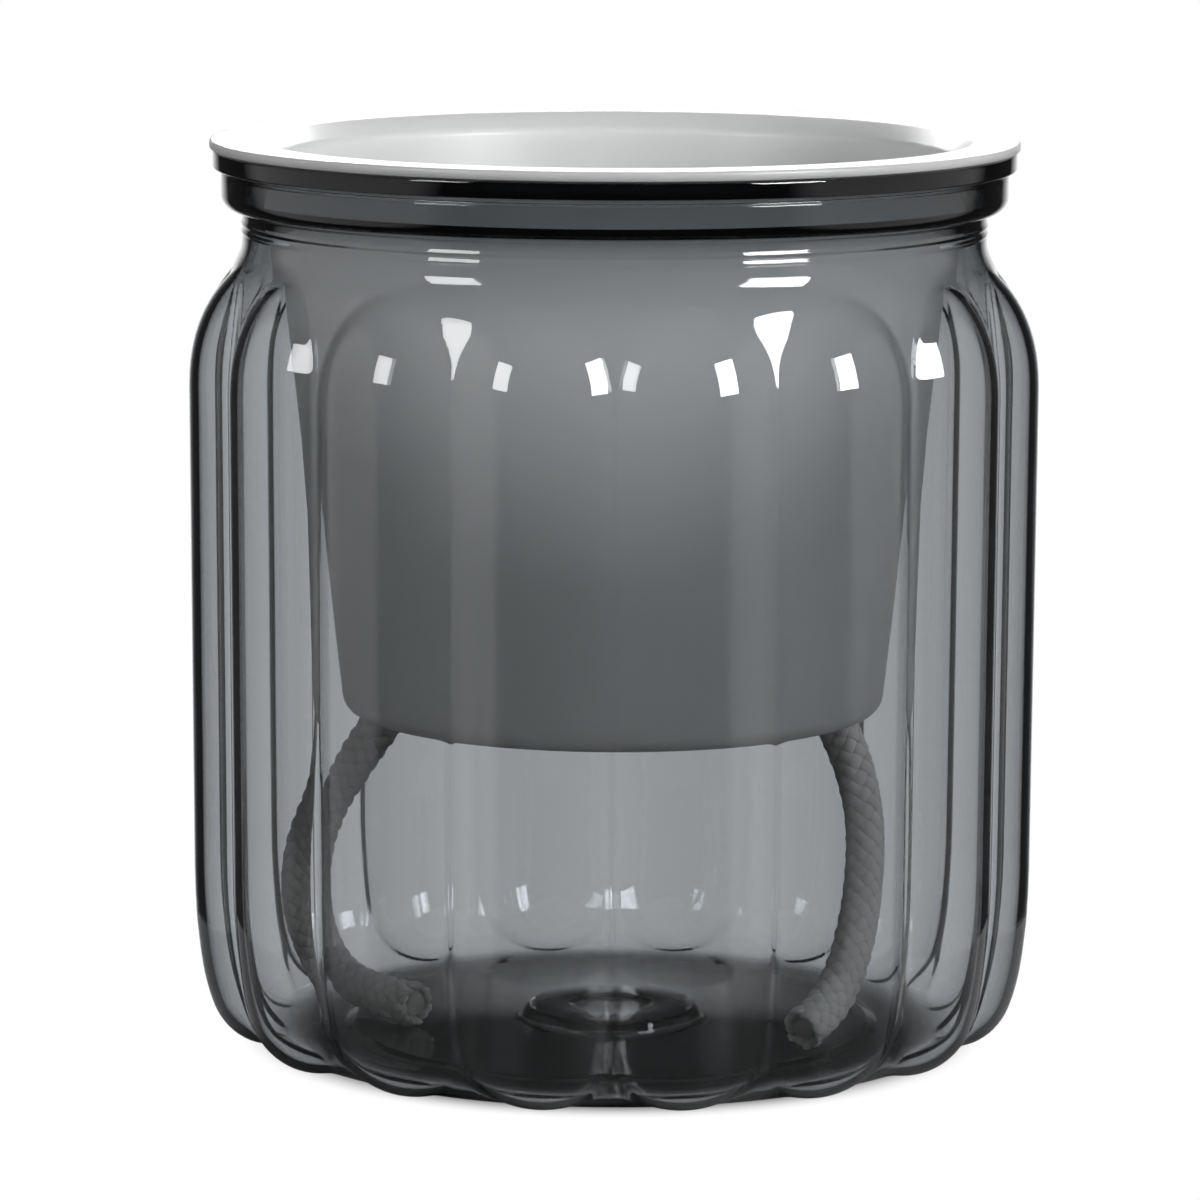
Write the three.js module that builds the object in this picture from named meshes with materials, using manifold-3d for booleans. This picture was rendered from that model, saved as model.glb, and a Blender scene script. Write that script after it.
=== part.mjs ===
// Self-watering pot: a fluted clear jar that holds the water, a white pot for the soil that hangs by
// its flange in the jar's mouth, and two braided cotton wicks that draw the water up into the soil.
// Millimetres, +Z up, origin in the middle of the jar's foot, front towards -Y.
import * as THREE from 'three';
import { mergeVertices } from 'three/addons/utils/BufferGeometryUtils.js';
import Module from 'manifold-3d';

const wasm = await Module();
wasm.setup();

// Jar: overall
const JAR_HEIGHT = 120.4;
const GROOVE_RADIUS = 54.1; // at the top of the body
const BODY_DRAFT = 0.3; // how much narrower the body is at the tuck
const JAR_WALL = 1.1;

// Jar: flutes, round pillows that stand proud of the grooves between them
const FLUTE_COUNT = 16;
const FLUTE_RISE = 3.35;
const FLUTE_CAP = 15.5; // length of the rounding at each end of a flute
const FLUTE_BLUNTNESS = 2.5; // of that rounding, where 2 is an ellipse
const FLUTE_STOP = 3.3; // how far below the neck the flutes end, along the wall
const FLUTE_FOOT_ANGLE = 76; // degrees round the bottom corner where the flutes end

// Jar: bottom corner and foot
const TUCK_HEIGHT = 24.7; // below this the wall tucks in towards the foot
const TUCK_ANGLE = 12.2;
const CORNER_RADIUS = 8.5;
const FOOT_RING_WIDTH = 6;
const FOOT_BEVEL = 1.2;
const BASE_RECESS = 0.8;
const DISC_RADIUS = 12.4; // raised disc in the middle of the base
const DISC_RISE = 1.8;
const DISC_DRAFT = 0.6;
const GATE_RADIUS = 6.2; // dimple in the disc, where the jar was moulded
const GATE_DEPTH = 0.6;
const GATE_DRAFT = 0.9;

// Jar: shoulder and neck
const NECK_INSET = 4.4;
const NECK_HEIGHT = 3.6;
const SHOULDER_ANGLE = 25.5;
const SHOULDER_FILLET = 5;

// Jar: neck finish, a ring with a wider lip on it
const LIP_HEIGHT = 2.4;
const LIP_PROUD = 1.1;
const LIP_SLOPE = 0.5;
const LIP_BEVEL = 0.3;
const RING_HEIGHT = 3;
const RING_PROUD = 2.8;
const RING_ROUND = 2.2;
const RING_STEP = 0.3;
const FINISH_WALL = 2;

// Pot
const SEAT_GAP = 0.3; // between the pot's flange and the jar's lip
const FLANGE_OVERHANG = 0.4;
const FLANGE_THICKNESS = 1;
const COLLAR_CLEARANCE = 0.4; // between the pot's collar and the jar's bore
const COLLAR_DEPTH = 1.6;
const LEDGE_WIDTH = 2.7;
const LEDGE_DROP = 0.8;
const POT_DEPTH = 76.7;
const POT_WALL = 1.2;
const POT_FLOOR = 1.3;
const POT_BOTTOM_RADIUS = 37.5;
const POT_CORNER = 2.5;
const WICK_HOLE_RADIUS = 5;
const WICK_HOLE_OFFSET = 29.5;
const DRAIN_COUNT = 6;
const DRAIN_RADIUS = 2;
const DRAIN_CIRCLE = 15;

// Wicks: each route runs from the end on the pot's floor, through its hole, to the end on the jar's floor
const WICK_DIAMETER = 6;
const LEFT_WICK_ROUTE = [
  [-5.8, -2.5, 49.5], [-9.8, -1.9, 51.7], [-14.2, -1.3, 53.0], [-18.7, -0.8, 53.1], [-23.0, -0.4, 51.8],
  [-26.6, -0.2, 49.2], [-29.6, 0.2, 45.7], [-32.3, 0.9, 42.1], [-34.8, 2.0, 38.5], [-37.3, 3.5, 34.9],
  [-39.7, 5.2, 31.4], [-41.8, 6.8, 27.5], [-43.4, 8.2, 23.5], [-44.2, 8.7, 18.9], [-43.7, 8.3, 14.4],
  [-42.2, 6.8, 10.5], [-39.8, 4.4, 7.4], [-36.6, 1.3, 5.6], [-33.2, -2.0, 5.3], [-30.0, -5.2, 5.2],
  [-26.7, -8.4, 5.2],
];
const RIGHT_WICK_ROUTE = [
  [5.3, 2.5, 49.6], [9.3, 1.9, 52.2], [13.9, 1.3, 53.8], [18.6, 0.8, 53.9], [23.1, 0.4, 52.4],
  [26.7, 0.1, 49.5], [29.5, -0.1, 45.6], [31.7, -0.5, 41.4], [33.6, -1.3, 37.1], [34.9, -2.4, 32.6],
  [35.4, -3.6, 28.0], [35.2, -4.9, 23.4], [34.6, -6.7, 19.0], [33.6, -9.2, 15.0], [32.3, -12.2, 11.5],
  [30.6, -15.6, 8.6], [28.3, -19.3, 6.5], [25.5, -22.9, 5.2],
];

// Facets
const FLUTE_FACES = 5;
const POT_FACES = 64;
const HOLE_FACES = 24;
const WICK_SIDES = 10;
const WICK_STEP = 5; // length of tube between two sections

// Radii and heights that follow from the sizes above
const degrees = THREE.MathUtils.degToRad;
const neckRadius = GROOVE_RADIUS - NECK_INSET;
const boreRadius = neckRadius + RING_PROUD - FINISH_WALL;
const lipRadius = neckRadius + RING_PROUD + LIP_PROUD;
const ringTop = JAR_HEIGHT - LIP_HEIGHT - LIP_SLOPE;
const ringBottom = ringTop - RING_HEIGHT;
const neckTop = ringBottom - RING_ROUND - RING_STEP;
const neckFoot = neckTop - NECK_HEIGHT;

const smokeClear = { color: '#70757a', roughness: 0.05, metalness: 0, transparent: true, opacity: 0.45 };
const jarMaterial = new THREE.MeshStandardMaterial(smokeClear);
const potMaterial = new THREE.MeshStandardMaterial({ color: '#eceef0', roughness: 0.35, metalness: 0 });
const wickMaterial = new THREE.MeshStandardMaterial({ color: '#e4e2da', roughness: 0.95, metalness: 0 });

function point(radius, height) {
  return new THREE.Vector2(radius, height);
}

// Points of an arc in the (radius, height) plane, angles in degrees from the outward direction.
function arc(centre, radius, from, to, steps) {
  return Array.from({ length: steps + 1 }, (_, i) => {
    const angle = degrees(THREE.MathUtils.lerp(from, to, i / steps));
    return point(centre.x + radius * Math.cos(angle), centre.y + radius * Math.sin(angle));
  });
}

// A closed solid turned from a profile that starts and ends on the axis, going up the outside.
function turned(profile, faces) {
  return new THREE.LatheGeometry(profile, faces).rotateX(Math.PI / 2);
}

function toSolid(geometry) {
  const bare = geometry.clone();
  bare.deleteAttribute('normal');
  bare.deleteAttribute('uv');
  const merged = mergeVertices(bare, 1e-4);
  const vertProperties = new Float32Array(merged.attributes.position.array);
  const corners = merged.index.array;
  const triVerts = [];
  for (let i = 0; i < corners.length; i += 3) {
    const [a, b, c] = corners.slice(i, i + 3);
    if (a !== b && b !== c && c !== a) triVerts.push(a, b, c);
  }
  const mesh = new wasm.Mesh({ numProp: 3, vertProperties, triVerts: new Uint32Array(triVerts) });
  return new wasm.Manifold(mesh);
}

function toGeometry(solid) {
  const mesh = solid.getMesh();
  const geometry = new THREE.BufferGeometry();
  geometry.setAttribute('position', new THREE.BufferAttribute(new Float32Array(mesh.vertProperties), 3));
  geometry.setIndex(new THREE.BufferAttribute(new Uint32Array(mesh.triVerts), 1));
  geometry.computeVertexNormals();
  return geometry;
}

function part(name, geometry, material) {
  const mesh = new THREE.Mesh(geometry, material);
  mesh.name = name;
  return mesh;
}

// Rows of the jar's skin along a groove, from the foot up to the neck: point and outward normal.
function grooveSkin() {
  const rows = [];
  const addArc = (centre, radius, from, to, steps, outward = 1) => {
    for (let i = 0; i <= steps; i += 1) {
      const angle = degrees(THREE.MathUtils.lerp(from, to, i / steps));
      const normal = point(Math.cos(angle), Math.sin(angle));
      rows.push({ point: centre.clone().addScaledVector(normal, outward * radius), normal });
    }
  };
  const tuck = degrees(TUCK_ANGLE);
  const tuckRadius = (TUCK_HEIGHT - CORNER_RADIUS * (1 - Math.sin(tuck))) / Math.sin(tuck);
  const waistRadius = GROOVE_RADIUS - BODY_DRAFT;
  const footRadius = waistRadius - (tuckRadius - CORNER_RADIUS) * (1 - Math.cos(tuck)) - CORNER_RADIUS;
  const cornerCentre = point(footRadius, CORNER_RADIUS);
  addArc(cornerCentre, CORNER_RADIUS, -90, -TUCK_ANGLE, 5);
  rows.pop();
  addArc(point(waistRadius - tuckRadius, TUCK_HEIGHT), tuckRadius, -TUCK_ANGLE, 0, 2);

  const slope = degrees(SHOULDER_ANGLE);
  const shoulderRadius = NECK_INSET / (1 - Math.cos(slope)) - SHOULDER_FILLET;
  const shoulderFoot = neckFoot - (shoulderRadius + SHOULDER_FILLET) * Math.sin(slope);
  const plainShoulder = (FLUTE_STOP - SHOULDER_FILLET * slope) / shoulderRadius;
  const fluteTop = SHOULDER_ANGLE - THREE.MathUtils.radToDeg(plainShoulder);
  addArc(point(GROOVE_RADIUS - shoulderRadius, shoulderFoot), shoulderRadius, 0, fluteTop, 5);
  addArc(point(neckRadius + SHOULDER_FILLET, neckFoot), SHOULDER_FILLET, SHOULDER_ANGLE, 0, 2, -1);

  // How far each row lies inside the flutes' length, as a share of their end caps: 1 where a flute ends.
  const steps = rows.map((row, i) => (i ? row.point.distanceTo(rows[i - 1].point) : 0));
  const fluteStart = CORNER_RADIUS * degrees(90 - FLUTE_FOOT_ANGLE);
  const fluteEnd = steps.reduce((sum, step) => sum + step, 0) - FLUTE_STOP;
  let along = 0;
  rows.forEach((row, i) => {
    along += steps[i];
    const inset = Math.min(along - fluteStart, fluteEnd - along);
    row.cap = THREE.MathUtils.clamp(1 - inset / FLUTE_CAP, 0, 1);
  });
  return rows;
}

// Underside of the jar from the axis out to the foot ring: dimple, raised disc, recess and ring.
function underside(footRadius) {
  const discTop = BASE_RECESS + DISC_RISE;
  const recessRadius = footRadius - FOOT_RING_WIDTH - FOOT_BEVEL;
  return [
    point(0, discTop - GATE_DEPTH),
    point(GATE_RADIUS - GATE_DRAFT, discTop - GATE_DEPTH),
    point(GATE_RADIUS, discTop),
    point(DISC_RADIUS, discTop),
    point(DISC_RADIUS + DISC_DRAFT, BASE_RECESS),
    point(recessRadius, BASE_RECESS),
    point(recessRadius + FOOT_BEVEL, 0),
  ];
}

// The jar is turned from one closed profile, then its body rows are pressed out into flutes,
// inside and outside alike, so that the wall keeps its thickness.
function outerJar() {
  const skin = grooveSkin();
  const under = underside(skin[0].point.x);
  const ringRadius = neckRadius + RING_PROUD;
  const boreStep = boreRadius - (neckRadius - JAR_WALL);
  const plain = (points) => points.map((at) => ({ point: at }));
  const inward = (row) => row.point.clone().addScaledVector(row.normal, -JAR_WALL);
  const inside = skin.map((row) => ({ ...row, point: inward(row) }));
  const floor = under.map((at) => point(at.x, at.y + JAR_WALL));
  const rows = [
    ...plain(under),
    ...skin,
    ...plain([point(neckRadius, neckTop)]),
    ...plain(arc(point(ringRadius - RING_ROUND, ringBottom), RING_ROUND, -90, 0, 3)),
    ...plain([
      point(ringRadius, ringTop),
      point(lipRadius, ringTop + LIP_SLOPE),
      point(lipRadius, JAR_HEIGHT - LIP_BEVEL),
      point(lipRadius - LIP_BEVEL, JAR_HEIGHT),
      point(boreRadius, JAR_HEIGHT),
      point(boreRadius, ringBottom),
      point(boreRadius - boreStep / 2, ringBottom - boreStep),
      point(neckRadius - JAR_WALL, ringBottom - boreStep * 1.5),
    ]),
    ...inside.reverse(),
    ...plain(floor.reverse()),
  ];

  const faces = FLUTE_COUNT * FLUTE_FACES;
  const geometry = turned(rows.map((row) => row.point), faces);
  const position = geometry.attributes.position;
  for (let i = 0; i < position.count; i += 1) {
    const { normal, cap } = rows[i % rows.length];
    if (!normal) continue;
    const column = Math.floor(i / rows.length);
    const across = (2 * (column % FLUTE_FACES)) / FLUTE_FACES - 1;
    const rise = FLUTE_RISE * Math.max(0, 1 - across * across - cap ** FLUTE_BLUNTNESS);
    const turn = (column / faces) * 2 * Math.PI;
    const out = rise * normal.x;
    position.setXYZ(
      i,
      position.getX(i) + out * Math.sin(turn),
      position.getY(i) - out * Math.cos(turn),
      position.getZ(i) + rise * normal.y,
    );
  }
  return part('outer_jar', geometry, jarMaterial);
}

// Rounded corner between a tapered wall and a floor: the wall's line passes through the corner point.
function wallCorner(corner, taper, radius) {
  const centre = point(corner.x - (radius * (1 - Math.sin(taper))) / Math.cos(taper), corner.y + radius);
  return arc(centre, radius, -90, -THREE.MathUtils.radToDeg(taper), 3);
}

function drill(solid, x, y, radius, height) {
  const bit = new THREE.CylinderGeometry(radius, radius, POT_FLOOR * 3, HOLE_FACES).rotateX(Math.PI / 2);
  return solid.subtract(toSolid(bit.translate(x, y, height)));
}

// The pot hangs from its flange. A collar under the flange drops into the jar's bore, and a sloped
// ledge leads from it to the tapered wall.
function innerPot() {
  const flangeBottom = JAR_HEIGHT + SEAT_GAP;
  const top = flangeBottom + FLANGE_THICKNESS;
  const bottom = top - POT_DEPTH;
  const collarRadius = boreRadius - COLLAR_CLEARANCE;
  const ledgeTop = flangeBottom - COLLAR_DEPTH;
  const wallTop = point(collarRadius - LEDGE_WIDTH, ledgeTop - LEDGE_DROP);
  const taper = Math.atan2(wallTop.x - POT_BOTTOM_RADIUS, wallTop.y - bottom);
  const wallAcross = POT_WALL / Math.cos(taper);
  const floorRadius = POT_BOTTOM_RADIUS + POT_FLOOR * Math.tan(taper) - wallAcross;
  const floorCorner = point(floorRadius, bottom + POT_FLOOR);
  const innerCorner = Math.max(POT_CORNER - POT_WALL, POT_WALL / 2);
  const profile = [
    point(0, bottom),
    ...wallCorner(point(POT_BOTTOM_RADIUS, bottom), taper, POT_CORNER),
    wallTop,
    point(collarRadius, ledgeTop),
    point(collarRadius, flangeBottom),
    point(lipRadius + FLANGE_OVERHANG, flangeBottom),
    point(lipRadius + FLANGE_OVERHANG, top),
    point(collarRadius - POT_WALL, top),
    point(collarRadius - POT_WALL, ledgeTop + POT_WALL / 2),
    point(wallTop.x - wallAcross, wallTop.y + POT_WALL / 2),
    ...wallCorner(floorCorner, taper, innerCorner).reverse(),
    point(0, bottom + POT_FLOOR),
  ];
  const floorMiddle = bottom + POT_FLOOR / 2;
  let solid = toSolid(turned(profile, POT_FACES));
  for (const side of [-1, 1]) {
    solid = drill(solid, side * WICK_HOLE_OFFSET, 0, WICK_HOLE_RADIUS, floorMiddle);
  }
  for (let i = 0; i < DRAIN_COUNT; i += 1) {
    const turn = ((i + 0.5) / DRAIN_COUNT) * 2 * Math.PI;
    const drain = point(DRAIN_CIRCLE, 0).rotateAround(point(0, 0), turn);
    solid = drill(solid, drain.x, drain.y, DRAIN_RADIUS, floorMiddle);
  }
  return part('inner_pot', toGeometry(solid), potMaterial);
}

function wick(name, route) {
  const path = new THREE.CatmullRomCurve3(route.map((at) => new THREE.Vector3(...at)));
  const section = new THREE.Shape().absarc(0, 0, WICK_DIAMETER / 2, 0, 2 * Math.PI);
  const steps = Math.round(path.getLength() / WICK_STEP);
  const sweep = { extrudePath: path, steps, curveSegments: WICK_SIDES / 2 };
  return part(name, new THREE.ExtrudeGeometry(section, sweep), wickMaterial);
}

const selfWateringPot = new THREE.Group();
selfWateringPot.add(outerJar());
selfWateringPot.add(innerPot());
selfWateringPot.add(wick('wick_left', LEFT_WICK_ROUTE));
selfWateringPot.add(wick('wick_right', RIGHT_WICK_ROUTE));

export default selfWateringPot;
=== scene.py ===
"""Self-watering pot: smoke-clear fluted jar, white hanging pot and two braided cotton wicks."""

import math

import bpy
import numpy as np
from mathutils import Matrix, Vector


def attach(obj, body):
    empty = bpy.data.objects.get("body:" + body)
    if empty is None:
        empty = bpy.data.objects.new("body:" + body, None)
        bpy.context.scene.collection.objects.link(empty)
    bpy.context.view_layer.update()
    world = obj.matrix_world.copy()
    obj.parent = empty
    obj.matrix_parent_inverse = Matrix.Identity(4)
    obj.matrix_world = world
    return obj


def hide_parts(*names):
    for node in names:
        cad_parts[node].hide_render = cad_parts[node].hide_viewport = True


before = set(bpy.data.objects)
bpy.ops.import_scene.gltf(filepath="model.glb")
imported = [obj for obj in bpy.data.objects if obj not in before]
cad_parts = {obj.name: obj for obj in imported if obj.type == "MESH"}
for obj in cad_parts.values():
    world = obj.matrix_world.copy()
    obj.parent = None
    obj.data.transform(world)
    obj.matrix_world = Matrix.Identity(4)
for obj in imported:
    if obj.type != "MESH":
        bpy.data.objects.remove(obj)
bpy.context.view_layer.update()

MM = 0.001
rng = np.random.default_rng(16)


# Camera, as solved from the rim and the foot in the photo (millimetres and degrees)

CAMERA_PLACE = (-1.75, -787.2, 184.0)
CAMERA_LENS = 177.1
CAMERA_LOOKS_DOWN = 9.004
CAMERA_ROLL = 0.226


def photo_camera():
    camera = bpy.data.objects.new("photo_camera", bpy.data.cameras.new("photo_camera"))
    camera.data.sensor_width = 36.0
    camera.data.lens = CAMERA_LENS
    camera.data.clip_start = 0.05
    camera.data.clip_end = 50.0
    camera.location = Vector(CAMERA_PLACE) * MM
    pitch = Matrix.Rotation(math.pi / 2 - math.radians(CAMERA_LOOKS_DOWN), 3, "X")
    roll = Matrix.Rotation(math.radians(CAMERA_ROLL), 3, "Z")
    camera.rotation_euler = (pitch @ roll).to_euler()
    bpy.context.scene.collection.objects.link(camera)
    bpy.context.scene.camera = camera


photo_camera()


# Mesh helpers

def mesh_piece(name, verts, faces):
    """A smooth-shaded mesh object; verts are in millimetres."""
    mesh = bpy.data.meshes.new(name)
    mesh.from_pydata((np.asarray(verts) * MM).tolist(), [], [list(map(int, f)) for f in faces])
    mesh.update()
    mesh.shade_smooth()
    piece = bpy.data.objects.new(name, mesh)
    bpy.context.scene.collection.objects.link(piece)
    return piece


def even_turn(columns):
    """Angles of columns spread evenly round the axis."""
    return np.arange(columns) / columns * 2 * math.pi


def turned_rings(turn, radius, height):
    """Rings of points round the axis, with a row of radius and height for each ring."""
    height = np.broadcast_to(height, (len(height), len(turn)))
    return np.stack([radius * np.sin(turn), -radius * np.cos(turn), height], -1)


def grid_faces(rows, columns, start=0):
    """Quads of a grid that closes on itself across its columns."""
    i, j = np.meshgrid(np.arange(rows - 1), np.arange(columns), indexing="ij")
    k = (j + 1) % columns
    quads = np.stack([i * columns + j, i * columns + k, (i + 1) * columns + k, (i + 1) * columns + j], -1)
    return (quads.reshape(-1, 4) + start).tolist()


def capped_faces(rows, columns, start=0):
    """Quads of a tube's wall, and one face over each of its ends."""
    first = list(range(start, start + columns))
    last = list(range(start + (rows - 1) * columns, start + rows * columns))
    return grid_faces(rows, columns, start) + [first[::-1], last]


def turned_piece(name, rings, low, high):
    """A closed solid from rings that run from the axis, up the outside and down the inside back to it."""
    rows, columns, _ = rings.shape
    verts = np.vstack([rings.reshape(-1, 3), [[0, 0, low]], [[0, 0, high]]])
    faces = grid_faces(rows, columns)
    first, last = rows * columns, rows * columns + 1
    end = (rows - 1) * columns
    for j in range(columns):
        k = (j + 1) % columns
        faces.append([first, k, j])
        faces.append([last, end + j, end + k])
    return mesh_piece(name, verts, faces)


def rounded(corners, steps):
    """Points of a profile whose corners (radius, height, fillet) are rounded to their fillets."""
    points = []
    flat = np.array([c[:2] for c in corners], float)
    for n, (_, _, fillet) in enumerate(corners):
        here = flat[n]
        if fillet == 0 or n in (0, len(corners) - 1):
            points.append(here)
            continue
        back, ahead = flat[n - 1] - here, flat[n + 1] - here
        u, v = back / np.linalg.norm(back), ahead / np.linalg.norm(ahead)
        half = math.acos(np.clip(u @ v, -1, 1)) / 2
        reach = fillet / math.tan(half)
        centre = here + (u + v) / np.linalg.norm(u + v) * fillet / math.sin(half)
        a, b = here + u * reach - centre, here + v * reach - centre
        turn = math.acos(np.clip(a @ b / fillet ** 2, -1, 1))
        for t in np.linspace(0, 1, steps + 1):
            points.append(centre + (math.sin((1 - t) * turn) * a + math.sin(t * turn) * b) / math.sin(turn))
    return np.array(points)


# Sizes that the pot shares with the wicks (all sizes of pieces are in millimetres)

POT_BOTTOM = 45.0
POT_FLOOR = 1.3
WICK_HOLE_PLACE = 29.5


# Wicks

WICK_DIAMETER = 6.0
LEFT_WICK_ROUTE = (
    (-5.8, -2.5, 49.5), (-9.8, -1.9, 51.7), (-14.2, -1.3, 53.0), (-18.7, -0.8, 53.1), (-23.0, -0.4, 51.8),
    (-26.6, -0.2, 49.2), (-29.6, 0.2, 45.7), (-32.3, 0.9, 42.1), (-34.8, 2.0, 38.5), (-37.3, 3.5, 34.9),
    (-39.7, 5.2, 31.4), (-41.8, 6.8, 27.5), (-43.4, 8.2, 23.5), (-44.2, 8.7, 18.9), (-43.7, 8.3, 14.4),
    (-42.2, 6.8, 10.5), (-39.8, 4.4, 7.4), (-36.6, 1.3, 5.6), (-33.2, -2.0, 5.3), (-30.0, -5.2, 5.2),
    (-26.7, -8.4, 5.2),
)
RIGHT_WICK_ROUTE = (
    (5.3, 2.5, 49.6), (9.3, 1.9, 52.2), (13.9, 1.3, 53.8), (18.6, 0.8, 53.9), (23.1, 0.4, 52.4),
    (26.7, 0.1, 49.5), (29.5, -0.1, 45.6), (31.7, -0.5, 41.4), (33.6, -1.3, 37.1), (34.9, -2.4, 32.6),
    (35.4, -3.6, 28.0), (35.2, -4.9, 23.4), (34.6, -6.7, 19.0), (33.6, -9.2, 15.0), (32.3, -12.2, 11.5),
    (30.6, -15.6, 8.6), (28.3, -19.3, 6.5), (25.5, -22.9, 5.2),
)
ROUTE_EASE = 2.2
STRANDS_EACH_WAY = 6
STRAND_WIDTH = 1.9
STRAND_THICKNESS = 1.0
STRAND_WAVE = 0.26
STRAND_UNEVENNESS = 0.02
STRAND_SIDES = 8
BRAID_RADIUS = WICK_DIAMETER / 2 - STRAND_WAVE - STRAND_THICKNESS / 2
BRAID_PITCH = 2 * math.pi * BRAID_RADIUS
BRAID_STEP = 0.3
CORE_RADIUS = 1.9
CORE_SIDES = 12
CUT_END_FLARE, CUT_END_LENGTH = 0.10, 3.0
ROUND_OFF_STEPS = 3  # steps over which a strand is rounded off at its ends


def smooth_route(route, step, ease):
    """The route resampled every step and eased over a few millimetres, so that it bends evenly."""
    route = np.array(route, float)
    lead = [route[0] - (route[1] - route[0]) * n for n in (3, 2, 1)]
    tail = [route[-1] + (route[-1] - route[-2]) * n for n in (1, 2, 3)]
    line = np.vstack([lead, route, tail])
    run = np.concatenate([[0], np.cumsum(np.linalg.norm(np.diff(line, axis=0), axis=1))])
    fine = np.arange(run[0], run[-1], step)
    dense = np.stack([np.interp(fine, run, line[:, k]) for k in range(3)], 1)
    span = int(4 * ease / step)
    weight = np.exp(-0.5 * (np.arange(-span, span + 1) * step / ease) ** 2)
    weight /= weight.sum()
    eased = np.stack([np.convolve(dense[:, k], weight, "same") for k in range(3)], 1)
    inside = (fine >= run[3]) & (fine <= run[-4])
    return eased[inside]


def carried_sides(line):
    """Two directions across the line at each of its points, which turn as little as they can."""
    tangent = np.gradient(line, axis=0)
    tangent /= np.linalg.norm(tangent, axis=1)[:, None]
    side = np.cross(tangent[0], [0, 1, 0.2])
    sides = []
    for t in tangent:
        side = side - t * (side @ t)
        side = side / np.linalg.norm(side)
        sides.append(side)
    sides = np.array(sides)
    return sides, np.cross(tangent, sides)


def swept(points, across, outward, width, thickness, sides):
    """Rings of an oval section along points, rounded off at both ends."""
    turn = even_turn(sides)
    place = np.arange(len(points))
    from_end = np.clip(np.minimum(place, place[::-1]) / ROUND_OFF_STEPS, 0, 1)
    taper = np.sqrt(np.clip(1 - (1 - from_end) ** 2, 0.02, 1))
    return (points[:, None]
            + across[:, None] * (np.cos(turn) * width / 2)[None, :, None] * taper[:, None, None]
            + outward[:, None] * (np.sin(turn) * thickness / 2)[None, :, None] * taper[:, None, None])


def braid_strand(line, side, up, run, way, strand):
    """Rings of one flat strand that winds round the line and waves over and under the others."""
    turn = way * 2 * math.pi * run / BRAID_PITCH + 2 * math.pi * strand / STRANDS_EACH_WAY
    wave = np.cos(2 * math.pi * STRANDS_EACH_WAY * run / BRAID_PITCH)
    flare = 1 + CUT_END_FLARE * np.clip(1 - (run[-1] - run) / CUT_END_LENGTH, 0, 1) ** 2
    radius = (BRAID_RADIUS + way * STRAND_WAVE * wave) * flare
    radius = radius + rng.normal(0, STRAND_UNEVENNESS, len(run))
    out = side * np.cos(turn)[:, None] + up * np.sin(turn)[:, None]
    points = line + out * radius[:, None]
    heading = np.gradient(points, axis=0)
    heading /= np.linalg.norm(heading, axis=1)[:, None]
    outward = out - heading * (out * heading).sum(1)[:, None]
    outward /= np.linalg.norm(outward, axis=1)[:, None]
    across = np.cross(heading, outward)
    return swept(points, across, outward, STRAND_WIDTH, STRAND_THICKNESS, STRAND_SIDES)


def braided_wick(name, route):
    """A round braid over a core: two sets of flat strands wind opposite ways and pass over and under."""
    line = smooth_route(route, BRAID_STEP, ROUTE_EASE)
    side, up = carried_sides(line)
    run = np.arange(len(line)) * BRAID_STEP
    strands = [braid_strand(line, side, up, run, way, strand)
               for way in (1, -1) for strand in range(STRANDS_EACH_WAY)]
    strands.append(swept(line, side, up, 2 * CORE_RADIUS, 2 * CORE_RADIUS, CORE_SIDES))

    faces, along, depth = [], [], []
    start = 0
    for rings in strands:
        rows, columns, _ = rings.shape
        faces += capped_faces(rows, columns, start)
        along.append(np.repeat(run / run[-1], columns))
        depth.append((np.linalg.norm(rings - line[:, None], axis=2) / (WICK_DIAMETER / 2)).reshape(-1))
        start += rows * columns
    piece = mesh_piece(name, np.vstack([rings.reshape(-1, 3) for rings in strands]), faces)
    # depth and along carry the cotton's painted shade: down between the strands, and along the wick.
    for attribute, values in (("depth", depth), ("along", along)):
        layer = piece.data.attributes.new(attribute, "FLOAT", "POINT")
        layer.data.foreach_set("value", np.concatenate(values).astype(np.float32))
    return piece, line


wicks = []
for node_name, route, hole in (
        ("wick_left", LEFT_WICK_ROUTE, -WICK_HOLE_PLACE), ("wick_right", RIGHT_WICK_ROUTE, WICK_HOLE_PLACE)):
    wick, centre_line = braided_wick("braided_" + node_name, route)
    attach(wick, "pot")
    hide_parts(node_name)
    wicks.append(wick)


# Jar

JAR_HEIGHT = 120.4
JAR_WALL, NECK_WALL = 1.1, 1.3
WALL_THICKENS_FROM = 102.0  # height at which the wall starts to thicken to the neck
GROOVE_RADIUS = 54.1
BODY_DRAFT = 0.3
FLUTES = 16
FLUTE_RISE = 3.35
FLUTE_CAP = 15.5  # length of the round end of a flute
FLUTE_BLUNTNESS = 2.5
FLUTE_STOP = 3.3  # from the end of a flute to the neck
FLUTE_FOOT_ANGLE = math.radians(76)
FLUTE_COLUMNS = 24
ARC_POINTS = 200
GROOVE_ROUND = 0.06
TUCK_HEIGHT, TUCK_ANGLE, CORNER_RADIUS = 24.7, math.radians(12.2), 8.5
SHOULDER_ANGLE, SHOULDER_FILLET = math.radians(25.5), 5.0
NECK_RADIUS, NECK_TOP, NECK_FOOT = 49.7, 112.0, 108.4
BEAD_RISE = 0.14
BEAD_DROPS = (2.5, 1.4)
RING_RADIUS, RING_FOOT, RING_TOP = 52.5, 112.4, 117.5
LIP_RADIUS, LIP_FOOT, LIP_WIDTH = 53.6, 118.0, 1.0
BORE_RADIUS, BORE_FOOT = 49.6, 114.3
BULGE, BULGE_HEIGHT = 1.2, 112.8  # thick part of the wall inside, under the ring
FINISH_ROWS = 6  # top rows of the skin, in place of which the finish stands
DIMPLE_RADIUS, DIMPLE_HEIGHT = 5.3, 2.0
DISC_RADIUS, DISC_HEIGHT = 12.7, 2.6
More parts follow.
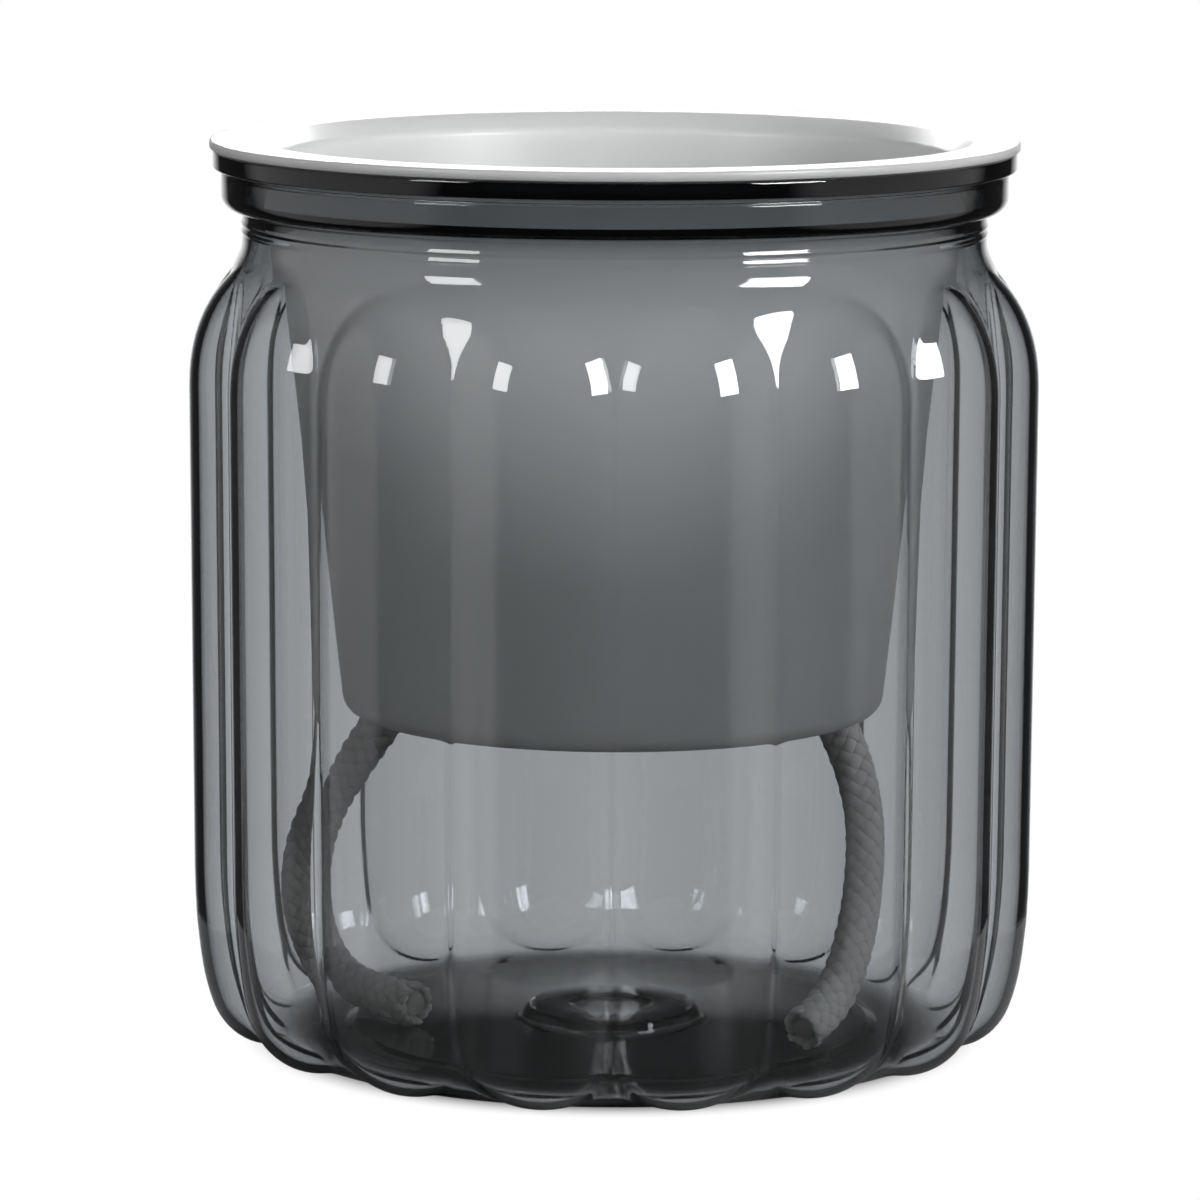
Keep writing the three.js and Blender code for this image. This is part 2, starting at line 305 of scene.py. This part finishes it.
BASE_HEIGHT = 0.8
FOOT_RING_WIDTH = 6.0


def groove_skin():
    """The jar's skin along a groove, finely: points, outward normals and length from the foot."""
    tuck_radius = (TUCK_HEIGHT - CORNER_RADIUS * (1 - math.sin(TUCK_ANGLE))) / math.sin(TUCK_ANGLE)
    waist_radius = GROOVE_RADIUS - BODY_DRAFT
    foot_radius = waist_radius - (tuck_radius - CORNER_RADIUS) * (1 - math.cos(TUCK_ANGLE)) - CORNER_RADIUS
    shoulder_radius = (GROOVE_RADIUS - NECK_RADIUS) / (1 - math.cos(SHOULDER_ANGLE)) - SHOULDER_FILLET
    shoulder_foot = NECK_FOOT - (shoulder_radius + SHOULDER_FILLET) * math.sin(SHOULDER_ANGLE)
    arcs = (
        ((foot_radius, CORNER_RADIUS), CORNER_RADIUS, -math.pi / 2, -TUCK_ANGLE, 1),
        ((waist_radius - tuck_radius, TUCK_HEIGHT), tuck_radius, -TUCK_ANGLE, 0, 1),
        ((GROOVE_RADIUS - shoulder_radius, shoulder_foot), shoulder_radius, 0, SHOULDER_ANGLE, 1),
        ((NECK_RADIUS + SHOULDER_FILLET, NECK_FOOT), SHOULDER_FILLET, SHOULDER_ANGLE, 0, -1),
    )
    points, normals = [], []
    for centre, radius, start, end, way in arcs:
        angle = np.linspace(start, end, ARC_POINTS)
        normal = np.stack([np.cos(angle), np.sin(angle)], 1)
        points.append(np.array(centre) + way * radius * normal)
        normals.append(normal)
    points.append(np.array([[NECK_RADIUS, NECK_TOP]]))
    normals.append(np.array([[1.0, 0.0]]))
    points, normals = np.vstack(points), np.vstack(normals)
    run = np.concatenate([[0], np.cumsum(np.linalg.norm(np.diff(points, axis=0), axis=1))])
    return points, normals, run


def flutes(inset):
    """How far the flutes rise off the skin, a row for each inset from their ends, and each column's turn."""
    cap = np.clip(1 - inset / FLUTE_CAP, 0, None)
    t = np.linspace(-1, 1, FLUTE_COLUMNS + 1)[:-1]
    across = 0.5 * t + 0.5 * np.sin(t * math.pi / 2)
    u = 1 - across ** 2
    groove = np.sqrt(u ** 2 + GROOVE_ROUND ** 2) - GROOVE_ROUND
    pillow = groove[None, :] - (cap ** FLUTE_BLUNTNESS)[:, None]
    rise = FLUTE_RISE * 0.5 * (pillow + np.sqrt(pillow ** 2 + GROOVE_ROUND ** 2))
    turn = (np.arange(FLUTES)[:, None] + (across[None, :] + 1) / 2) / FLUTES * 2 * math.pi
    return np.tile(rise, (1, FLUTES)), turn.reshape(-1)


def jar_base(foot):
    """Profiles under and inside the base, from the axis out: dimpled disc, raised flat and foot ring."""
    ring = foot - FOOT_RING_WIDTH
    under = rounded([
        (1.0, DIMPLE_HEIGHT, 0), (DIMPLE_RADIUS, DIMPLE_HEIGHT, 0.5),
        (DIMPLE_RADIUS + 0.9, DISC_HEIGHT, 0.4), (DISC_RADIUS - 0.3, DISC_HEIGHT, 0.5),
        (DISC_RADIUS + 0.3, BASE_HEIGHT, 0.5),
        (ring - 1.2, BASE_HEIGHT, 0.6), (ring, 0.0, 0.6), (foot, 0.0, 0),
    ], 3)[:-1]
    dimple, disc, base = DIMPLE_HEIGHT + JAR_WALL, DISC_HEIGHT + JAR_WALL, BASE_HEIGHT + JAR_WALL
    floor = rounded([
        (1.0, dimple, 0), (DIMPLE_RADIUS - 0.3, dimple, 0.6), (DIMPLE_RADIUS + 0.7, disc, 0.5),
        (DISC_RADIUS - 0.7, disc, 0.7), (DISC_RADIUS, base, 0.5),
        (ring - 1.6, base, 0.8), (ring + 0.4, JAR_WALL, 0.8), (foot, JAR_WALL, 0),
    ], 3)[:-1]
    return under, floor


def neck_finish():
    """Profile of the finish: beads on the neck, ring, lip bevelled inside, bore and the bulge under it."""
    neck_bore = NECK_RADIUS - NECK_WALL
    beads = []
    for drop in BEAD_DROPS:
        crest = NECK_TOP - drop
        beads += [(NECK_RADIUS, crest - 0.4, 0.3), (NECK_RADIUS + BEAD_RISE, crest, 0.3),
                  (NECK_RADIUS, crest + 0.45, 0.3)]
    return rounded([
        (NECK_RADIUS, NECK_TOP - 3.1, 0), *beads, (NECK_RADIUS, RING_FOOT, 0.5),
        (RING_RADIUS, RING_FOOT, 2.0), (RING_RADIUS, RING_TOP - 0.3, 0.4),
        (RING_RADIUS - 0.7, RING_TOP, 0.25), (LIP_RADIUS - 0.5, LIP_FOOT - 0.2, 0.2),
        (LIP_RADIUS, LIP_FOOT, 0.3), (LIP_RADIUS, JAR_HEIGHT, 0.5),
        (LIP_RADIUS - LIP_WIDTH, JAR_HEIGHT, 0.2),
        (BORE_RADIUS, RING_TOP - 0.2, 0.4), (BORE_RADIUS, BORE_FOOT, 0.3),
        (neck_bore - BULGE, BULGE_HEIGHT, 0.4), (neck_bore, NECK_TOP - 1.8, 1.5),
        (neck_bore, NECK_TOP - 3.0, 0),
    ], 5)[1:-1]


def fluted_jar():
    """The whole shell: base, fluted skin, finish, and the skin again inside at the wall's thickness."""
    points, normals, run = groove_skin()
    flute_start = CORNER_RADIUS * (math.pi / 2 - FLUTE_FOOT_ANGLE)
    flute_end = run[-1] - (NECK_TOP - NECK_FOOT) - FLUTE_STOP
    # Rows lie closer together where the flutes end.
    stations = np.concatenate([
        np.linspace(0, flute_start - 0.6, 4)[:-1],
        np.linspace(flute_start - 0.6, flute_start + FLUTE_CAP + 1.2, 28)[:-1],
        np.linspace(flute_start + FLUTE_CAP + 1.2, flute_end - FLUTE_CAP - 1.2, 22)[:-1],
        np.linspace(flute_end - FLUTE_CAP - 1.2, flute_end + 1.0, 36)[:-1],
        np.linspace(flute_end + 1.0, run[-1], 12),
    ])
    rise, turn = flutes(np.minimum(stations - flute_start, flute_end - stations))

    skin = np.stack([np.interp(stations, run, points[:, k]) for k in range(2)], 1)
    normal = np.stack([np.interp(stations, run, normals[:, k]) for k in range(2)], 1)
    normal /= np.linalg.norm(normal, axis=1)[:, None]
    near_neck = np.clip((skin[:, 1:] - WALL_THICKENS_FROM) / (NECK_FOOT - WALL_THICKENS_FROM), 0, 1)
    wall = JAR_WALL + (NECK_WALL - JAR_WALL) * near_neck ** 2 * (3 - 2 * near_neck)
    under, floor = jar_base(skin[0, 0])
    finish = neck_finish()

    def plain(profile):
        return turned_rings(turn, profile[:, :1], profile[:, 1:])

    def fluted(profile):
        radius = profile[:, :1] + rise * normal[:, :1]
        height = profile[:, 1:] + rise * normal[:, 1:]
        return turned_rings(turn, radius, height)[:-FINISH_ROWS]

    outside, inside = fluted(skin), fluted(skin - normal * wall)
    rings = np.concatenate([plain(under), outside, plain(finish), inside[::-1], plain(floor[::-1])])
    return turned_piece("smoke_jar", rings, DIMPLE_HEIGHT, DIMPLE_HEIGHT + JAR_WALL)


jar = fluted_jar()
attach(jar, "jar")
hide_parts("outer_jar")


# Pot

FLANGE_TOP = 121.7
FLANGE_FOOT = 120.46
FLANGE_RADIUS = 54.0
COLLAR_RADIUS = 50.1
MOUTH_RADIUS, MOUTH_SLOPE = 47.8, 2.8
POT_WALL = 1.2
POT_WALL_TOP = (47.4, 118.3)
POT_THICKENS_FROM = 54.0  # over the bottom; from there the wall thickens to the mouth
POT_BOTTOM_RADIUS = 37.5
POT_LEDGE = 119.1
POT_COLUMNS = 192
WICK_HOLE_RADIUS = 5.0
DRAIN_HOLES, DRAIN_RADIUS, DRAIN_CIRCLE = 6, 2.0, 15.0
HOLE_EDGE = 0.35
HOLE_COLUMNS = 48


def drilled(piece, x, y, radius):
    """Cuts a round hole with softened edges through the pot's floor."""
    wide = radius + HOLE_EDGE
    low, high = POT_BOTTOM, POT_BOTTOM + POT_FLOOR
    profile = np.array([
        (wide, low - 1.35), (wide, low - 0.01), (radius, low + HOLE_EDGE),
        (radius, high - HOLE_EDGE), (wide, high + 0.01), (wide, high + 1.35),
    ])
    rings = turned_rings(even_turn(HOLE_COLUMNS), profile[:, :1], profile[:, 1:]) + (x, y, 0)
    cutter = mesh_piece("cutter", rings.reshape(-1, 3), capped_faces(len(profile), HOLE_COLUMNS))
    cut = piece.modifiers.new("hole", "BOOLEAN")
    cut.operation = "DIFFERENCE"
    cut.solver = "EXACT"
    cut.object = cutter
    bpy.context.view_layer.objects.active = piece
    with bpy.context.temp_override(object=piece, active_object=piece):
        bpy.ops.object.modifier_apply(modifier=cut.name)
    bpy.data.objects.remove(cutter)


def hanging_pot():
    """The pot: tapered wall, flange and mouth turned in one, with wick and drain holes in its floor."""
    taper = (POT_WALL_TOP[0] - POT_BOTTOM_RADIUS) / (POT_WALL_TOP[1] - POT_BOTTOM)
    inner_low = POT_BOTTOM_RADIUS - POT_WALL + taper * POT_FLOOR
    middle = POT_THICKENS_FROM
    profile = rounded([
        (1.0, POT_BOTTOM, 0), (POT_BOTTOM_RADIUS, POT_BOTTOM, 2.5),
        (POT_BOTTOM_RADIUS + taper * middle, POT_BOTTOM + middle, 0), (*POT_WALL_TOP, 0.8),
        (COLLAR_RADIUS, POT_LEDGE, 0.6), (COLLAR_RADIUS, FLANGE_FOOT, 0.2),
        (FLANGE_RADIUS, FLANGE_FOOT, 0.3), (FLANGE_RADIUS, FLANGE_TOP, 0.45),
        (MOUTH_RADIUS, FLANGE_TOP, 1.2),
        (MOUTH_RADIUS - MOUTH_SLOPE, POT_LEDGE + 0.2, 1.5),
        (inner_low + taper * middle, POT_BOTTOM + POT_FLOOR + middle, 0),
        (inner_low, POT_BOTTOM + POT_FLOOR, 1.5), (1.0, POT_BOTTOM + POT_FLOOR, 0),
    ], 6)
    rings = turned_rings(even_turn(POT_COLUMNS), profile[:, :1], profile[:, 1:])
    piece = turned_piece("white_pot", rings, POT_BOTTOM, POT_BOTTOM + POT_FLOOR)
    for side in (-1, 1):
        drilled(piece, side * WICK_HOLE_PLACE, 0, WICK_HOLE_RADIUS)
    for n in range(DRAIN_HOLES):
        turn = (n + 0.5) / DRAIN_HOLES * 2 * math.pi
        drilled(piece, DRAIN_CIRCLE * math.cos(turn), DRAIN_CIRCLE * math.sin(turn), DRAIN_RADIUS)
    return piece


pot = hanging_pot()
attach(pot, "pot")
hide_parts("inner_pot")


# Materials

def linear(hex_colour):
    """A colour written as sRGB hex, in linear light."""
    srgb = [int(hex_colour[i:i + 2], 16) / 255 for i in (1, 3, 5)]
    return [c / 12.92 if c <= 0.04045 else ((c + 0.055) / 1.055) ** 2.4 for c in srgb] + [1.0]


def add(tree, kind, inputs=(), **settings):
    """Adds a node: settings are its own, inputs gives each socket a value or the output that feeds it."""
    node = tree.nodes.new(kind)
    for name, value in settings.items():
        setattr(node, name, value)
    for key, value in dict(inputs).items():
        if isinstance(value, bpy.types.NodeSocket):
            tree.links.new(value, node.inputs[key])
        else:
            node.inputs[key].default_value = value
    return node


def new_material(name):
    material = bpy.data.materials.new(name)
    material.use_nodes = True
    material.node_tree.nodes.clear()
    return material, material.node_tree


def smoke_pet():
    """Smoke-tinted PET, blow moulded: clear, dark where the wall is seen edge on, faintly wavy gloss."""
    material, tree = new_material("smoke_pet_blow_moulded")
    place = add(tree, "ShaderNodeTexCoord").outputs["Object"]
    ripple = add(tree, "ShaderNodeTexNoise", {"Vector": place, "Scale": 1 / (14 * MM), "Detail": 1.0})
    bump = add(tree, "ShaderNodeBump", {
        "Strength": 0.15, "Distance": 0.2 * MM, "Height": ripple.outputs["Fac"]})
    scuff = add(tree, "ShaderNodeTexNoise", {"Vector": place, "Scale": 1 / (3 * MM), "Detail": 4.0})
    gloss = add(tree, "ShaderNodeMapRange", {
        "Value": scuff.outputs["Fac"], "From Min": 0.45, "From Max": 0.75, "To Min": 0.01, "To Max": 0.035})
    skin = add(tree, "ShaderNodeBsdfPrincipled", {
        "Base Color": linear("#ffffff"), "Transmission Weight": 1.0, "IOR": 1.575,
        "Roughness": gloss.outputs["Result"], "Normal": bump.outputs["Normal"]})
    tint = add(tree, "ShaderNodeVolumeAbsorption", {"Color": linear("#003f55"), "Density": 490.0})
    add(tree, "ShaderNodeOutputMaterial", {
        "Surface": skin.outputs["BSDF"], "Volume": tint.outputs["Volume"]})
    return material


def white_polypropylene():
    """Polypropylene, injection moulded: milky white that lets some light through, with a satin grain."""
    material, tree = new_material("white_polypropylene_moulded")
    place = add(tree, "ShaderNodeTexCoord").outputs["Object"]
    # The mould's grain is finer than this: it is drawn 0.5 mm wide so that it shows.
    grain = add(tree, "ShaderNodeTexNoise", {"Vector": place, "Scale": 1 / (0.5 * MM), "Detail": 3.0})
    flow = add(tree, "ShaderNodeTexNoise", {"Vector": place, "Scale": 1 / (25 * MM), "Detail": 2.0})
    colour = add(tree, "ShaderNodeMix", {
        0: flow.outputs["Fac"], 6: linear("#e9ebec"), 7: linear("#f3f4f4")}, data_type="RGBA")
    satin = add(tree, "ShaderNodeMapRange", {
        "Value": flow.outputs["Fac"], "From Min": 0.3, "From Max": 0.7, "To Min": 0.28, "To Max": 0.4})
    bump = add(tree, "ShaderNodeBump", {
        "Strength": 0.12, "Distance": 0.05 * MM, "Height": grain.outputs["Fac"]})
    skin = add(tree, "ShaderNodeBsdfPrincipled", {
        "Base Color": colour.outputs[2], "IOR": 1.49, "Roughness": satin.outputs["Result"],
        "Subsurface Weight": 1.0, "Subsurface Radius": (1.0, 1.0, 1.0), "Subsurface Scale": 9.0 * MM,
        "Normal": bump.outputs["Normal"]})
    add(tree, "ShaderNodeOutputMaterial", {"Surface": skin.outputs["BSDF"]})
    return material


def cotton_braid():
    """Undyed cotton yarn, braided: matt off-white with painted shade down between the strands that is darker
    near the pot and paler towards the cut end, and a soft fuzz.
    """
    material, tree = new_material("undyed_cotton_braid")
    place = add(tree, "ShaderNodeTexCoord").outputs["Object"]
    depth = add(tree, "ShaderNodeAttribute", attribute_name="depth").outputs["Fac"]
    along = add(tree, "ShaderNodeAttribute", attribute_name="along").outputs["Fac"]
    # Painted shade: the colour darkens down between the strands, where the depth is low.
    hollow = add(tree, "ShaderNodeMapRange", {"Value": depth, "From Min": 0.66, "From Max": 0.95})
    # Cotton fibres are finer than this: they are drawn 0.25 mm wide so that they show.
    fibre = add(tree, "ShaderNodeTexNoise", {"Vector": place, "Scale": 1 / (0.25 * MM), "Detail": 4.0})
    blotch = add(tree, "ShaderNodeTexNoise", {"Vector": place, "Scale": 1 / (9 * MM), "Detail": 2.0})
    # Painted shade along the wick: the shade between the strands is darker near the pot and paler towards
    # the cut end.
    painted_shade_fade = add(tree, "ShaderNodeMapRange", {"Value": along, "From Min": 0.4, "From Max": 0.85})
    painted_hollow_shade = add(tree, "ShaderNodeMix", {
        0: painted_shade_fade.outputs["Result"], 6: linear("#a09e9a"), 7: linear("#c6c4c0")}, data_type="RGBA")
    shade = add(tree, "ShaderNodeMix", {
        0: hollow.outputs["Result"], 6: painted_hollow_shade.outputs[2], 7: linear("#f6f5f3")}, data_type="RGBA")
    worn = add(tree, "ShaderNodeMix", {
        0: blotch.outputs["Fac"], 6: shade.outputs[2], 7: linear("#ecebe8")},
        data_type="RGBA", blend_type="MULTIPLY")
    bump = add(tree, "ShaderNodeBump", {
        "Strength": 0.5, "Distance": 0.12 * MM, "Height": fibre.outputs["Fac"]})
    skin = add(tree, "ShaderNodeBsdfPrincipled", {
        "Base Color": worn.outputs[2], "Roughness": 0.95, "IOR": 1.5, "Sheen Weight": 0.8,
        "Sheen Roughness": 0.5, "Normal": bump.outputs["Normal"]})
    add(tree, "ShaderNodeOutputMaterial", {"Surface": skin.outputs["BSDF"]})
    return material


jar.data.materials.append(smoke_pet())
pot.data.materials.append(white_polypropylene())
braid = cotton_braid()
for wick in wicks:
    wick.data.materials.append(braid)


# Studio

PAPER_RADIUS = 105.0
PAPER_DROP = 0.05
PAPER_COLUMNS = 96
PAPER_FADE_SEEN = (41, 51)
PAPER_FADE_THROUGH_JAR = (40, 50)
LAMP_AIM = 90.0


def seen_rays(tree):
    """1 for what the camera sees straight or through the clear jar, 0 for light that falls on the object."""
    ray = add(tree, "ShaderNodeLightPath").outputs
    seen = add(tree, "ShaderNodeMath", {
        0: ray["Is Camera Ray"], 1: ray["Is Transmission Ray"]}, operation="MAXIMUM")
    bounces = add(tree, "ShaderNodeMath", {0: ray["Diffuse Depth"], 1: ray["Glossy Depth"]}, operation="ADD")
    direct = add(tree, "ShaderNodeMath", {0: bounces.outputs["Value"], 1: 0.5}, operation="LESS_THAN")
    both = add(tree, "ShaderNodeMath", {
        0: seen.outputs["Value"], 1: direct.outputs["Value"]}, operation="MULTIPLY")
    return both.outputs["Value"]


def painted_shade_paper():
    """Matt grey paper: it takes the jar's shadow under the foot and fades to plain white round it. Its grey
    is painted shade, which darkens the floor seen under and through the jar's foot.
    """
    material, tree = new_material("painted_shade_grey_paper")
    place = add(tree, "ShaderNodeTexCoord").outputs["Object"]
    # The paper's tooth is finer than this: it is drawn 2 mm wide so that it shows.
    tooth = add(tree, "ShaderNodeTexNoise", {"Vector": place, "Scale": 1 / (2 * MM), "Detail": 3.0})
    bump = add(tree, "ShaderNodeBump", {
        "Strength": 0.05, "Distance": 0.05 * MM, "Height": tooth.outputs["Fac"]})
    # Painted shade: the paper is grey rather than white, so that the floor under the jar's foot is darker.
    skin = add(tree, "ShaderNodeBsdfPrincipled", {
        "Base Color": linear("#8c8c8c"), "Roughness": 0.6, "Normal": bump.outputs["Normal"]})
    away = add(tree, "ShaderNodeVectorMath", {0: place}, operation="LENGTH")
    camera_ray = add(tree, "ShaderNodeLightPath").outputs["Is Camera Ray"]
    through_jar = add(tree, "ShaderNodeMath", {0: seen_rays(tree), 1: camera_ray}, operation="SUBTRACT")
    share = 0.0
    for rays, (start, end) in (
            (camera_ray, PAPER_FADE_SEEN), (through_jar.outputs["Value"], PAPER_FADE_THROUGH_JAR)):
        fade = add(tree, "ShaderNodeMapRange", {
            "Value": away.outputs["Value"], "From Min": start * MM, "From Max": end * MM},
            interpolation_type="SMOOTHSTEP")
        share = add(tree, "ShaderNodeMath", {
            0: fade.outputs["Result"], 1: rays, 2: share}, operation="MULTIPLY_ADD").outputs["Value"]
    white = add(tree, "ShaderNodeEmission", {"Color": linear("#ffffff"), "Strength": 1.0})
    both = add(tree, "ShaderNodeMixShader", {
        0: share, 1: skin.outputs["BSDF"], 2: white.outputs["Emission"]})
    add(tree, "ShaderNodeOutputMaterial", {"Surface": both.outputs["Shader"]})
    return material


def paper_floor():
    """A round sheet of paper just under the jar's foot."""
    turn = even_turn(PAPER_COLUMNS)
    sheet = np.stack([PAPER_RADIUS * np.cos(turn), PAPER_RADIUS * np.sin(turn),
                      np.full(PAPER_COLUMNS, -PAPER_DROP)], 1)
    floor = mesh_piece("paper_floor", sheet, [range(PAPER_COLUMNS)])
    floor.data.materials.append(painted_shade_paper())
    return floor


def softbox(name, azimuth, elevation, distance, width, height, power):
    """A softbox that faces the pot, in metres; azimuth is counted from the camera's side towards +X."""
    data = bpy.data.lights.new(name, "AREA")
    data.shape = "RECTANGLE"
    data.size, data.size_y = width, height
    data.energy = power
    lamp = bpy.data.objects.new(name, data)
    a, e = math.radians(azimuth), math.radians(elevation)
    aim = Vector((0, 0, LAMP_AIM * MM))
    towards = Vector((math.sin(a) * math.cos(e), -math.cos(a) * math.cos(e), math.sin(e)))
    lamp.location = aim + towards * distance
    lamp.rotation_euler = (aim - lamp.location).to_track_quat("-Z", "Y").to_euler()
    bpy.context.scene.collection.objects.link(lamp)
    return lamp


def studio_world():
    """A dim room that is plain white where the camera sees it, with a backdrop and two side cards."""
    world = bpy.data.worlds.new("studio")
    bpy.context.scene.world = world
    world.use_nodes = True
    sky = world.node_tree
    sky.nodes.clear()
    ray = add(sky, "ShaderNodeLightPath").outputs
    place = add(sky, "ShaderNodeTexCoord").outputs["Generated"]
    direction = add(sky, "ShaderNodeSeparateXYZ", {"Vector": place}).outputs

    # The backdrop lights the pot from behind and dims upwards.
    behind = add(sky, "ShaderNodeMapRange", {"Value": direction["Y"], "From Min": 0.9, "From Max": 0.97})
    table = add(sky, "ShaderNodeMapRange", {
        "Value": direction["Z"], "From Min": 0.0, "From Max": 0.25, "To Min": 1.0, "To Max": 0.03})
    backdrop = add(sky, "ShaderNodeMath", {
        0: behind.outputs["Result"], 1: table.outputs["Result"]}, operation="MULTIPLY")

    # The cards show only in the gloss, as pale streaks along the flutes.
    sideways = add(sky, "ShaderNodeMath", {0: direction["X"]}, operation="ABSOLUTE")
    cards = add(sky, "ShaderNodeMapRange", {
        "Value": sideways.outputs["Value"], "From Min": 0.75, "From Max": 0.85, "To Max": 0.5})
    direct = add(sky, "ShaderNodeMath", {0: ray["Diffuse Depth"], 1: 0.5}, operation="LESS_THAN")
    gloss = add(sky, "ShaderNodeMath", {
        0: ray["Is Glossy Ray"], 1: direct.outputs["Value"]}, operation="MULTIPLY")
    streaks = add(sky, "ShaderNodeMath", {
        0: cards.outputs["Result"], 1: gloss.outputs["Value"]}, operation="MULTIPLY")

    # The camera sees white low down, and grey high up, which the lip and the shoulder show as dark lines.
    low = add(sky, "ShaderNodeMapRange", {
        "Value": direction["Z"], "From Min": 0.15, "From Max": 0.5, "To Min": 1.0, "To Max": 0.1})
    seen = add(sky, "ShaderNodeMath", {0: low.outputs["Result"], 1: seen_rays(sky)}, operation="MULTIPLY")

    level = 0.03
    for part in (backdrop, streaks, seen):
        level = add(sky, "ShaderNodeMath", {
            0: level, 1: part.outputs["Value"]}, operation="MAXIMUM").outputs["Value"]
    glow = add(sky, "ShaderNodeBackground", {"Color": linear("#ffffff"), "Strength": level})
    add(sky, "ShaderNodeOutputWorld", {"Surface": glow.outputs["Background"]})


paper_floor()
softbox("softbox_right", azimuth=51, elevation=20.5, distance=1.3, width=0.45, height=0.5, power=14.5)
softbox("softbox_left", azimuth=-51, elevation=20.5, distance=1.3, width=0.36, height=0.4, power=4.0)
# Lights the pot through its mouth. Its image is kept out of the jar's floor.
back_lamp = softbox(
    "softbox_behind", azimuth=180, elevation=25, distance=1.3, width=0.9, height=0.4, power=11.0)
back_lamp.visible_transmission = False
# A weak fill from above that leaves no image in the gloss.
top_lamp = softbox(
    "overhead_softbox", azimuth=180, elevation=75, distance=1.2, width=0.7, height=0.7, power=0.8)
top_lamp.visible_glossy = False
top_lamp.visible_transmission = False
studio_world()

bpy.context.scene.view_settings.view_transform = "Standard"
